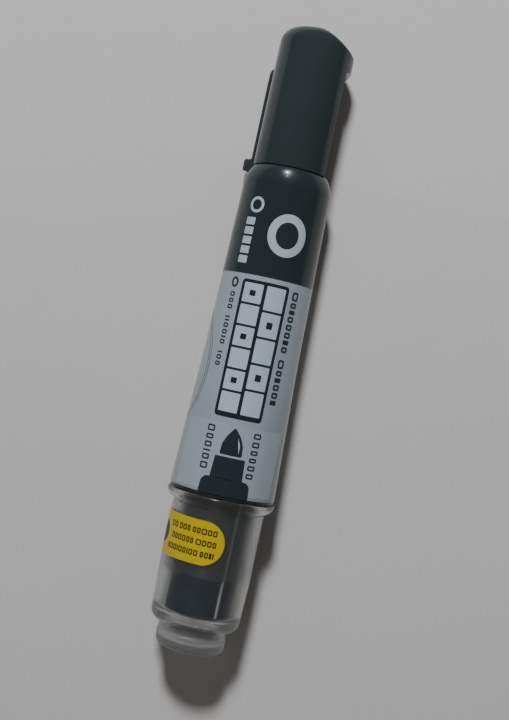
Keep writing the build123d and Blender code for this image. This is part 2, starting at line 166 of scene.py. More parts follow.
class Blank:
    """A mesh in the making, in millimetres on the marker's axis."""

    def __init__(self) -> None:
        """Starts with nothing."""
        self.mesh = bmesh.new()

    def add(self, part: bmesh.types.BMesh) -> None:
        """Takes in another mesh and frees it.

        Args:
            part: The mesh to take in.
        """
        carrier = bpy.data.meshes.new("carrier")
        part.to_mesh(carrier)
        part.free()
        self.mesh.from_mesh(carrier)
        bpy.data.meshes.remove(carrier)

    def turn(self, outline: Sequence[Corner], steps: int = TURN_STEPS) -> "Blank":
        """Adds a solid turned about the axis.

        Args:
            outline: Corners of the closed section. A side that lies on the axis is left out.
            steps: Facets round the axis.

        Returns:
            The blank itself.
        """
        part = bmesh.new()
        verts = [part.verts.new((c.station, 0, c.radius)) for c in outline]
        for a, b in zip(verts, verts[1:] + verts[:1]):
            if a.co.z > 0 or b.co.z > 0:
                part.edges.new((a, b))
        for vert, corner in zip(verts, outline):
            if corner.round_off:
                round_corner(part, vert, corner.round_off, corner.steps)
        bmesh.ops.spin(
            part, geom=part.verts[:] + part.edges[:], cent=(0, 0, 0), axis=(1, 0, 0), angle=math.tau,
            steps=steps, use_merge=True,
        )
        bmesh.ops.remove_doubles(part, verts=part.verts, dist=1e-4)
        bmesh.ops.recalc_face_normals(part, faces=part.faces)
        self.add(part)
        return self

    def plate(self, outline: Sequence[Point], half_width: float, turn: float, rounds: Sequence[float],
              edge: float) -> "Blank":
        """Adds a plate that stands out from the axis in one direction.

        Args:
            outline: Corners of its side, as (station, distance from the axis).
            half_width: Half its width.
            turn: Direction it stands in, in degrees from +Y towards +Z.
            rounds: Rounding of each corner of the side.
            edge: Rounding of the long edges.

        Returns:
            The blank itself.
        """
        part = bmesh.new()
        verts = [part.verts.new((station, reach, -half_width)) for station, reach in outline]
        part.faces.new(verts)
        for vert, length in zip(verts, rounds):
            if length:
                round_corner(part, vert, length, 6)
        grown = bmesh.ops.extrude_face_region(part, geom=part.faces[:], use_keep_orig=True)
        moved = [g for g in grown["geom"] if isinstance(g, bmesh.types.BMVert)]
        bmesh.ops.translate(part, verts=moved, vec=(0, 0, 2 * half_width))
        bmesh.ops.recalc_face_normals(part, faces=part.faces)
        rims = [e for e in part.edges if abs(e.verts[0].co.z - e.verts[1].co.z) < 1e-6]
        bmesh.ops.bevel(
            part, geom=rims, offset=edge, offset_type="OFFSET", segments=3, profile=0.5, affect="EDGES",
            material=-1, clamp_overlap=True,
        )
        bmesh.ops.rotate(part, verts=part.verts, cent=(0, 0, 0),
                         matrix=Matrix.Rotation(math.radians(turn), 3, "X"))
        bmesh.ops.recalc_face_normals(part, faces=part.faces)
        self.add(part)
        return self

    def like(self, node: str) -> "Blank":
        """Adds a merged copy of a node of the frame, so that its round sides can be shaded smooth.

        Args:
            node: Name of the node.

        Returns:
            The blank itself.
        """
        part = bmesh.new()
        part.from_mesh(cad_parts[node].data)
        part.transform(SPINDLE.placing().inverted())
        bmesh.ops.remove_doubles(part, verts=part.verts, dist=2e-3)
        self.add(part)
        return self


@dataclass(frozen=True)
class Skin:
    """A turned surface that carries stickers and prints."""

    knots: tuple[Point, ...]

    def radius(self, station: float) -> float:
        """Radius at a station.

        Args:
            station: Distance from the tail end.

        Returns:
            The radius there, straight between knots.
        """
        for (rear, low), (front, high) in zip(self.knots, self.knots[1:]):
            if station <= front:
                return low + (high - low) * (station - rear) / (front - rear)
        return self.knots[-1][1]


class Sheet:
    """Flat artwork in stations and arc, to be cut fine, wrapped on a skin and given its thickness."""

    CUT = 0.45  # widest strip that is still flat, in arc
    DASH_ROUND = 0.18  # most that a dash's corners are rounded
    LEAST_HOLLOW = 2.5  # a mark shorter than this many strokes is drawn filled

    def __init__(self) -> None:
        """Starts with nothing."""
        self.mesh = bmesh.new()

    def outline(self, points: Sequence[Point], rounding: float = 0.0, steps: int = 4) -> "Sheet":
        """Adds a flat shape.

        Args:
            points: Its corners, as (station, arc).
            rounding: Rounding of all its corners.
            steps: Edges in each round.

        Returns:
            The sheet itself.
        """
        verts = [self.mesh.verts.new((station, arc, 0)) for station, arc in points]
        self.mesh.faces.new(verts)
        if rounding:
            for vert in verts:
                round_corner(self.mesh, vert, rounding, steps)
        return self

    def patch(self, stations: Point, arcs: Point, rounding: float = 0.0) -> "Sheet":
        """Adds a rectangle between two stations and two arcs, with its corners rounded."""
        (rear, front), (low, high) = stations, arcs
        return self.outline([(rear, low), (front, low), (front, high), (rear, high)], rounding)

    def hollow(self, stations: Point, arcs: Point, stroke: float) -> None:
        """Adds the outline of a rounded rectangle, rounded a little less on its inner edge.

        Args:
            stations: Its two ends.
            arcs: Its two sides.
            stroke: Width of its line.
        """
        before = set(self.mesh.edges)
        for inset in (0.0, stroke):
            (rear, front), (low, high) = ((a + inset, b - inset) for a, b in (stations, arcs))
            verts = [self.mesh.verts.new((station, arc, 0))
                     for station, arc in ((rear, low), (front, low), (front, high), (rear, high))]
            for a, b in zip(verts, verts[1:] + verts[:1]):
                self.mesh.edges.new((a, b))
            for vert in verts:
                round_corner(self.mesh, vert, stroke * 0.9 - inset * 0.5, 2)
        bmesh.ops.bridge_loops(self.mesh, edges=[e for e in self.mesh.edges if e not in before])

    def ring(self, centre: Point, outer: Point, width: float, steps: int = 96) -> None:
        """Adds a ring or, where the width reaches the middle, a disc.

        Args:
            centre: Its middle, as (station, arc).
            outer: Its half length along the station and along the arc.
            width: Width of its band.
            steps: Edges round it.
        """
        loops = []
        for inset in (0.0, width):
            if outer[0] - inset < NEAR:
                continue
            made = bmesh.ops.create_circle(self.mesh, cap_ends=width >= outer[0], segments=steps, radius=1)
            bmesh.ops.scale(self.mesh, verts=made["verts"], vec=(outer[0] - inset, outer[1] - inset, 1))
            bmesh.ops.translate(self.mesh, verts=made["verts"], vec=(centre[0], centre[1], 0))
            loops += {edge for vert in made["verts"] for edge in vert.link_edges}
        if width < outer[0]:
            bmesh.ops.bridge_loops(self.mesh, edges=loops)

    def row(self, start: Point, lengths: Sequence[float], gap: float, height: float,
            along_arc: bool = False, stroke: float = 0.0) -> None:
        """Adds a row of rounded dashes or small hollow marks that stands for a line of small type.

        Args:
            start: Station and arc of the middle of the first dash's near end.
            lengths: Length of each dash. A negative length is a blank.
            gap: Space between dashes.
            height: Height of the dashes.
            along_arc: True for a row that runs round the marker, False for one along it.
            stroke: Line width of hollow marks, or nothing for filled dashes.
        """
        station, arc = start
        for length in lengths:
            run = abs(length)
            if length > 0:
                if along_arc:
                    box = (station - height / 2, station + height / 2), (arc - run, arc)
                else:
                    box = (station - run, station), (arc - height / 2, arc + height / 2)
                if stroke and run > self.LEAST_HOLLOW * stroke:
                    self.hollow(*box, stroke)
                else:
                    self.patch(*box, min(self.DASH_ROUND, run / 4))
            if along_arc:
                arc -= run + gap
            else:
                station -= run + gap

    def wrap(self, skin: Skin, lift: float, thickness: float) -> Blank:
        """Cuts the artwork into flat strips, bends it round the skin and thickens it outwards.

        Args:
            skin: The surface that carries it.
            lift: Height of its underside over the skin.
            thickness: Its thickness.

        Returns:
            The wrapped sheet as a blank.
        """
        arcs = [vert.co.y for vert in self.mesh.verts]
        cut = math.floor(min(arcs) / self.CUT) * self.CUT + self.CUT
        planes = []
        while cut < max(arcs):
            planes.append(((0, cut, 0), (0, 1, 0)))
            cut += self.CUT
        planes += [((station, 0, 0), (1, 0, 0)) for station, _ in skin.knots[1:-1]]
        for point, normal in planes:
            slice_mesh(self.mesh, point, normal, 1e-5)
        grown = bmesh.ops.extrude_face_region(self.mesh, geom=self.mesh.faces[:], use_keep_orig=True)
        raised = {g for g in grown["geom"] if isinstance(g, bmesh.types.BMVert)}
        for vert in self.mesh.verts:
            base = skin.radius(vert.co.x)
            angle = vert.co.y / base
            reach = base + lift + (thickness if vert in raised else 0.0)
            vert.co = (vert.co.x, reach * math.sin(angle), reach * math.cos(angle))
        bmesh.ops.recalc_face_normals(self.mesh, faces=self.mesh.faces)
        blank = Blank()
        blank.add(self.mesh)
        return blank


def smooth_least(a: float, b: float, blend: float) -> float:
    """The lesser of two values, with the change from one to the other eased over a width."""
    overlap = max(blend - abs(a - b), 0.0) / blend
    return min(a, b) - overlap * overlap * blend / 4


# ---- materials ----
def linear(code: str) -> tuple[float, float, float, float]:
    """Linear colour of an sRGB hex code.

    Args:
        code: Six hex digits after a hash sign.

    Returns:
        Linear red, green, blue and an alpha of one.
    """
    parts = [int(code[i:i + 2], 16) / 255 for i in (1, 3, 5)]
    red, green, blue = (p / 12.92 if p <= 0.04045 else ((p + 0.055) / 1.055) ** 2.4 for p in parts)
    return red, green, blue, 1.0


def toned(code: str, factor: float) -> tuple[float, float, float, float]:
    """The linear colour of a hex code, made lighter or darker by a factor."""
    red, green, blue, _ = linear(code)
    return red * factor, green * factor, blue * factor, 1.0


def add_node(tree: bpy.types.NodeTree, kind: str, settings: dict[str, Any] | None = None,
             inputs: dict[str | int, Any] | None = None) -> bpy.types.Node:
    """Adds a node with its settings, values and links.

    Args:
        tree: The tree to add it to.
        kind: Its type name.
        settings: Its own properties.
        inputs: Socket name or number to a value, a socket, or a node whose first live output is meant.

    Returns:
        The new node.
    """
    node = tree.nodes.new(kind)
    for name, value in (settings or {}).items():
        setattr(node, name, value)
    for name, value in (inputs or {}).items():
        if isinstance(name, int):
            socket = node.inputs[name]
        else:
            socket = next(s for s in node.inputs if s.name == name and s.enabled)
        if isinstance(value, bpy.types.Node):
            value = next(s for s in value.outputs if s.enabled)
        if isinstance(value, bpy.types.NodeSocket):
            tree.links.new(value, socket)
        else:
            socket.default_value = value
    return node


@dataclass(frozen=True)
class Finish:
    """A material and how its surface was made. Sizes are in millimetres on the real thing."""

    name: str
    colour: str
    roughness: float
    gloss_spread: float = 0.05  # how far the roughness strays either way
    mottle: float = 0.06  # how far the colour strays either way, as a share
    mottle_mm: float = 6.0
    relief_mm: float = 0.8  # spacing of the surface's own waviness
    relief_height_mm: float = 0.002
    scuffs: float = 0.0  # roughness that handling marks add
    stretch: tuple[float, float, float] = (1.0, 1.0, 1.0)  # above one draws the patterns finer that way
    ior: float = 1.5
    metallic: float = 0.0
    transmission: float = 0.0
    coat: float = 0.0
    coat_roughness: float = 0.05
    sheen: float = 0.0

    def noise(self, tree: bpy.types.NodeTree, spacing: float, detail: float = 2.0,
              stretch: tuple[float, float, float] | None = None) -> bpy.types.Node:
        """Adds a noise of a real size in the piece's own space.

        Args:
            tree: The material's tree.
            spacing: Distance between its spots, in millimetres.
            detail: Octaves of finer spots.
            stretch: How much finer it is along each axis, or None for the finish's own.

        Returns:
            The noise node.
        """
        place = add_node(tree, "ShaderNodeTexCoord").outputs["Object"]
        turned = add_node(tree, "ShaderNodeMapping", {}, {"Vector": place, "Scale": stretch or self.stretch})
        return add_node(tree, "ShaderNodeTexNoise", {}, {
            "Vector": turned, "Scale": 1 / (spacing * MM), "Detail": detail, "Roughness": 0.55})

    def station(self, tree: bpy.types.NodeTree) -> bpy.types.NodeSocket:
        """Adds the place along the marker's axis, as X in metres."""
        place = add_node(tree, "ShaderNodeTexCoord").outputs["Object"]
        return add_node(tree, "ShaderNodeSeparateXYZ", {}, {"Vector": place}).outputs["X"]

    def clouded(self, tree: bpy.types.NodeTree, colour: str) -> bpy.types.Node:
        """Adds a colour, given as a hex code, with its slow cloudiness."""
        return add_node(tree, "ShaderNodeMix", {"data_type": "RGBA"}, {
            "Factor": self.noise(tree, self.mottle_mm), "A": toned(colour, 1 - self.mottle),
            "B": toned(colour, 1 + self.mottle)})

    def tint(self, tree: bpy.types.NodeTree) -> bpy.types.Node:
        """Adds the colour of the surface."""
        return self.clouded(tree, self.colour)

    def clearness(self, tree: bpy.types.NodeTree) -> float | bpy.types.Node:
        """The share of light that passes through, which is the same all over."""
        return self.transmission

    def gloss(self, tree: bpy.types.NodeTree) -> bpy.types.Node:
        """Adds the roughness, with cloudy patches and fine handling marks along the axis.

        Args:
            tree: The material's tree.

        Returns:
            The node that gives the roughness.
        """
        cloudy = add_node(tree, "ShaderNodeMapRange", {}, {
            "Value": self.noise(tree, 2.5 * self.relief_mm, 3.0), "From Min": 0.3, "From Max": 0.7,
            "To Min": self.roughness - self.gloss_spread, "To Max": self.roughness + self.gloss_spread})
        if not self.scuffs:
            return cloudy
        marks = add_node(tree, "ShaderNodeMapRange", {}, {
            "Value": self.noise(tree, 0.35, 2.0, (0.06, 1.0, 1.0)), "From Min": 0.6, "From Max": 0.74,
            "To Min": 0.0, "To Max": self.scuffs})
        return add_node(tree, "ShaderNodeMath", {"operation": "ADD"}, {0: cloudy, 1: marks})

    def relief(self, tree: bpy.types.NodeTree) -> bpy.types.Node:
        """Adds the surface's waviness as a bump."""
        return add_node(tree, "ShaderNodeBump", {}, {
            "Strength": 1.0, "Distance": self.relief_height_mm * MM,
            "Height": self.noise(tree, self.relief_mm)})

    def make(self) -> bpy.types.Material:
        """Builds the material.

        Returns:
            The new material.
        """
        material = bpy.data.materials.new(self.name)
        material.use_nodes = True
        tree = material.node_tree
        tree.nodes.clear()
        shader = add_node(tree, "ShaderNodeBsdfPrincipled", {}, {
            "Base Color": self.tint(tree), "Roughness": self.gloss(tree), "Normal": self.relief(tree),
            "IOR": self.ior, "Metallic": self.metallic, "Transmission Weight": self.clearness(tree),
            "Coat Weight": self.coat, "Coat Roughness": self.coat_roughness, "Sheen Weight": self.sheen})
        add_node(tree, "ShaderNodeOutputMaterial", {}, {"Surface": shader})
        return material


@dataclass(frozen=True)
class TwoToneFilm(Finish):
    """A film printed in one colour towards the tail and another towards the cap."""

    front_colour: str = "#000000"
    boundary: float = 82.2  # station where the colours meet
    blur: float = 0.05  # half the width of the change between them

    def tint(self, tree: bpy.types.NodeTree) -> bpy.types.Node:
        """Adds the two printed colours, each with its cloudiness."""
        side = add_node(tree, "ShaderNodeMapRange", {}, {
            "Value": self.station(tree), "From Min": SPINDLE.x(self.boundary - self.blur),
            "From Max": SPINDLE.x(self.boundary + self.blur)})
        return add_node(tree, "ShaderNodeMix", {"data_type": "RGBA"}, {
            "Factor": side, "A": self.clouded(tree, self.colour), "B": self.clouded(tree, self.front_colour)})


@dataclass(frozen=True)
class FrostedShell(Finish):
    """A see-through moulding whose thick closed end turns milky."""

    thick_until: float = 1.0  # station up to which it is as milky as it gets
    clear_from: float = 9.0  # station from which it is as clear as it gets
    milky_transmission: float = 0.91
    milky_roughness: float = 0.2  # roughness that the milkiness adds

    def along(self, tree: bpy.types.NodeTree, thick: float, thin: float) -> bpy.types.Node:
        """Adds a value that changes from the thick end to the thin tube.

        Args:
            tree: The material's tree.
            thick: Value at the thick end.
            thin: Value in the tube.

        Returns:
            The node that gives the value.
        """
        return add_node(tree, "ShaderNodeMapRange", {"interpolation_type": "SMOOTHSTEP"}, {
            "Value": self.station(tree), "From Min": SPINDLE.x(self.thick_until),
            "From Max": SPINDLE.x(self.clear_from), "To Min": thick, "To Max": thin})

    def gloss(self, tree: bpy.types.NodeTree) -> bpy.types.Node:
        """Adds the roughness, greater at the milky end."""
        milky = self.along(tree, self.milky_roughness, 0.0)
        return add_node(tree, "ShaderNodeMath", {"operation": "ADD"}, {0: super().gloss(tree), 1: milky})

    def clearness(self, tree: bpy.types.NodeTree) -> bpy.types.Node:
        """Adds the share of light that passes through, less at the milky end."""
        return self.along(tree, self.milky_transmission, self.transmission)


class Rack:
    """Every finish of the marker, made once.

    The numbers after a colour are its roughness and how far that strays, how far the colour strays and over
    what distance, and the spacing and the height of the surface's waviness, as Finish lists them.
    """

    def __init__(self) -> None:
        """Makes the materials."""
        # Polypropylene moulded in a polished tool: deep black, with an orange-peel that only wavers a gleam.
        # The collar's tool is plainer, so it is duller.
        self.cap = Finish("polypropylene_black_moulded", "#2c3537", 0.13, 0.03, 0.08, 9.0, 1.3, 0.002,
                          scuffs=0.1).make()
        self.collar = Finish("polypropylene_black_collar", "#1a1f21", 0.34, 0.05, 0.08, 5.0, 0.9,
                             0.003).make()
        # Polypropylene with a smoke tint, moulded: a dark ring behind the film.
        self.barrel = Finish("polypropylene_smoke_moulded", "#262b2c", 0.24, 0.05, 0.1, 4.0, 1.2,
                             0.004).make()
        # Gravure-printed polypropylene film with a gloss varnish: two flat inks, a thin even sheen.
        self.film = TwoToneFilm("polypropylene_film_gravure_printed", "#95a1a9", 0.26, 0.04, 0.035, 5.0, 1.6,
                                0.002, scuffs=0.06, ior=1.42, coat=0.22, front_colour="#232e31").make()
        # The same film as a sticker: a shade paler, so that its edge only just shows.
        self.grade = Finish("polypropylene_film_sticker", "#96a2aa", 0.28, 0.05, 0.03, 4.0, 1.4, 0.002,
                            coat=0.3).make()
        # Gravure inks under the same varnish.
        self.dark_print = Finish("gravure_ink_black", "#1c2729", 0.28, 0.04, 0.08, 3.0, 1.2, 0.001,
                                 coat=0.3).make()
        self.light_print = Finish("gravure_ink_silver_grey", "#a9bac4", 0.34, 0.04, 0.03, 3.0, 1.2, 0.001,
                                  coat=0.3).make()
        self.fine_print = Finish("gravure_ink_charcoal", "#242d31", 0.34, 0.04, 0.08, 3.0, 1.2, 0.001,
                                 coat=0.3).make()
        # Polypropylene, natural, moulded in a blasted tool: milky, with a soft veil over what lies behind.
        self.cover = FrostedShell("polypropylene_natural_frosted", "#e9ebeb", 0.2, 0.04, 0.02, 7.0, 1.6,
                                  0.004, transmission=0.98).make()
        # Polypropylene, clarified, extruded and blown: nearly clear, with faint draw lines along it.
        self.clear = Finish("polypropylene_clarified_drawn", "#f8fafa", 0.06, 0.02, 0.02, 6.0, 0.9, 0.003,
                            stretch=(0.15, 1.0, 1.0), transmission=1.0).make()
        # The same polypropylene extruded thicker for the guiding sleeve: a faint haze over the bottle.
        self.sleeve = Finish("polypropylene_clarified_sleeve", "#dfe5e6", 0.12, 0.03, 0.02, 6.0, 0.9, 0.003,
                             stretch=(0.15, 1.0, 1.0), transmission=0.95).make()
        # The bottle's raised ribs, opaque and pale: a painted highlight that stands for a lamp's reflection
        # along the bottle.
        self.joint = Finish("polypropylene_ribs_painted_highlight", "#e6e6e0", 0.4, 0.05, 0.05, 3.0, 0.8, 0.003).make()
        # Pigmented alcohol ink: a dark blue liquid. It wets the bottle's wall, so its own face hardly gleams.
        self.ink = Finish("alcohol_ink_liquid", "#0b4062", 0.3, 0.03, 0.1, 10.0, 3.0, 0.001, ior=1.02).make()
        # Gloss paper sticker, printed yellow: flat warm yellow, finest fibres only felt in the gleam.
        self.yellow = Finish("gloss_paper_printed_yellow", "#c6ad06", 0.5, 0.06, 0.05, 2.5, 0.5, 0.002,
                             coat=0.15).make()
        # Offset ink on that paper: flat black, duller than the gloss round it.
        self.yellow_print = Finish("offset_ink_black", "#15181a", 0.45, 0.05, 0.08, 2.0, 0.6, 0.001).make()
        # Polyethylene, natural, moulded: off-white and waxy.
        self.liner = Finish("polyethylene_natural_moulded", "#d9dad6", 0.42, 0.06, 0.03, 4.0, 0.9,
                             0.004).make()
        # Polypropylene, natural, moulded with fine fins: whitish, a little greasy in the light.
        self.feed = Finish("polypropylene_natural_feed", "#c3c7c6", 0.4, 0.06, 0.04, 3.0, 0.8, 0.003).make()
        # Bonded polyester fibre, ground to shape and soaked in ink: matt black with fibres along it.
        # Fibres are 0.03 mm and are drawn at 0.18 mm, so that they show.
        self.nib = Finish("polyester_fibre_bonded", "#101214", 0.75, 0.12, 0.35, 0.4, 0.18, 0.03,
                          stretch=(0.12, 1.0, 1.0), sheen=0.15).make()
        # Stainless steel, drawn: grey metal with lines along it.
        self.steel = Finish("stainless_steel_drawn", "#b4b6b8", 0.3, 0.1, 0.06, 1.5, 0.12, 0.002,
                            stretch=(0.08, 1.0, 1.0), metallic=1.0).make()
        # Butyl rubber, moulded: soft matt black.
        self.rubber = Finish("butyl_rubber_moulded", "#1b1b1c", 0.7, 0.08, 0.12, 1.0, 0.4, 0.006).make()
        # Melamine desk top, pressed against a fine plate: pale grey-white with a low sheen.
        self.desk = Finish("melamine_laminate_pressed", "#cecccb", 0.36, 0.05, 0.015, 24.0, 2.6, 0.006).make()


# ---- pieces ----
def dress(blank: Blank, name: str, body: Body, material: bpy.types.Material,
          nodes: tuple[str, ...] = (), crease: float = 35.0) -> None:
    """Turns a blank into a finished piece in its place.

    Args:
        blank: The mesh, in millimetres on the axis.
        name: Name of the piece.
        body: The body it rides on.
        material: Its finish.
        nodes: The nodes it stands for.
        crease: Angle in degrees over which an edge stays sharp.
    """
    blank.mesh.transform(SPINDLE.placing())
    mesh = bpy.data.meshes.new(name)
    blank.mesh.to_mesh(mesh)
    blank.mesh.free()
    mesh.shade_smooth()
    mesh.set_sharp_from_angle(angle=math.radians(crease))
    mesh.materials.append(material)
    piece = new_object(name, mesh)
    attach(piece, body.value)
    if nodes:
        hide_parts(*nodes)
    LOG.info("%s: %d faces on %s", name, len(mesh.polygons), body.value)


@dataclass
class Cap:
    """The cap: shell with its flat and slanted end, spring clip and liner."""

    rack: Rack
    mouth: float = 106.4
    mouth_r: float = 8.45
    end: float = 137.4
    end_r: float = 8.35
    rim: float = 3.4
    bore_r: float = 6.3
    floor: float = 133.0
    # rows of faces on the side that the flat's ramp and the slant bend
    bands: tuple[float, ...] = (129.3, 129.7, 130.1, 130.8, 131.4, 132.0, 132.6, 133.1)
    flat_y: float = -7.25
    flat_end: float = 129.3
    ramp: Point = (0.9, 1.3)  # run along the axis for a rise from it
    crease: float = 18.0  # angle over which the flat's edges are rounded
    crease_round: float = 0.12
    slant_from: float = -0.6
    slant: float = 0.56
    slant_clear: float = 4.0  # distance past which the slant is clear of the end
    slant_soft: float = 0.7
    clip_turn: float = -39.0
    clip_root: float = 129.0
    clip_boss: float = 3.1  # length of the boss on the cap
    clip_sink: float = 0.8  # how deep the boss is rooted in the cap
    clip_gap: float = 0.03  # between the boss and the arm
    clip_out: float = 10.25
    clip_thick: float = 1.2
    clip_half: float = 2.2
    clip_edge: float = 0.25
    tip: float = 105.6
    nub: float = 2.7  # length of the nub at the tip
    nub_r: float = 12.25

    def shell(self) -> Blank:
        """Turns the cup, then presses in the flat and the slanted end.

        Returns:
            The shell with the clip's boss.
        """
        side_rows = [Corner(station, self.end_r) for station in self.bands]
        end_rings = [Corner(self.end, tenths / 10) for tenths in range(46, 0, -4)]
        outline = [
            Corner(self.mouth, self.bore_r, 0.25, 3), Corner(self.mouth, self.mouth_r, 0.15, 3), *side_rows,
            Corner(self.end, self.end_r, self.rim, 18), *end_rings, Corner(self.end, 0),
            Corner(self.floor, 0), Corner(self.floor, self.bore_r, 0.4, 3),
        ]
        blank = Blank().turn(outline, FINE_STEPS)
        mesh = blank.mesh
        run, rise = self.ramp
        slope = Vector((rise, run, 0)).normalized()
        for point, normal in (((0, self.flat_y, 0), (0, 1, 0)), ((self.flat_end, self.flat_y, 0), slope)):
            slice_mesh(mesh, point, normal, 1e-4)
        for vert in mesh.verts:
            x, y, _ = vert.co
            past = max(x - self.flat_end, 0.0) * rise / run
            vert.co.y = max(y, self.flat_y - past)
            limit = self.end + self.slant * min(vert.co.y - self.slant_from, self.slant_clear)
            if x > self.floor + NEAR or y < -self.bore_r - 0.1:  # the cup's inside stays as it is
                vert.co.x = smooth_least(x, limit, self.slant_soft)
        bmesh.ops.recalc_face_normals(mesh, faces=mesh.faces)
        least = math.radians(self.crease)
        sharp = [e for e in mesh.edges if len(e.link_faces) == 2 and e.calc_face_angle(0) > least
                 and all(v.co.y < self.flat_y + 0.05 and v.co.x < self.flat_end + 1 for v in e.verts)]
        bmesh.ops.bevel(mesh, geom=sharp, offset=self.crease_round, offset_type="OFFSET", segments=2,
                        profile=0.5, affect="EDGES", material=-1, clamp_overlap=True)
        start, foot = self.clip_root - self.clip_boss, self.end_r - self.clip_sink
        root, out = self.clip_root, self.clip_out
        boss = [(start, foot), (root, foot), (root, out), (start, out)]
        return blank.plate(boss, self.clip_half, self.clip_turn, (0, 0, 1.3, 0), self.clip_edge)

    def clip(self) -> Blank:
        """Makes the spring arm with its nub from one side outline.

        Returns:
            The clip.
        """
        inner, outer = self.clip_out - self.clip_thick, self.clip_out
        front = self.clip_root - self.clip_boss - self.clip_gap
        nub_front = self.tip + self.nub
        side = [(front, inner), (front, outer), (nub_front, outer), (nub_front, self.nub_r),
                (self.tip, self.nub_r), (self.tip, inner + 0.9), (self.tip + 0.6, inner)]
        rounds = (0, 0.15, 0.5, 0.5, 0.5, 0.4, 0.2)
        return Blank().plate(side, self.clip_half, self.clip_turn, rounds, self.clip_edge)

    def build(self) -> None:
        """Builds and dresses the cap's pieces."""
        rack = self.rack
        dress(self.shell(), "cap_shell_moulding", Body.CAP, rack.cap, ("cap_shell",), crease=30)
        dress(self.clip(), "cap_clip_spring", Body.CLIP, rack.cap, ("cap_clip",))
        dress(Blank().like("cap_liner"), "cap_inner_cup", Body.CAP, rack.liner, ("cap_liner",))


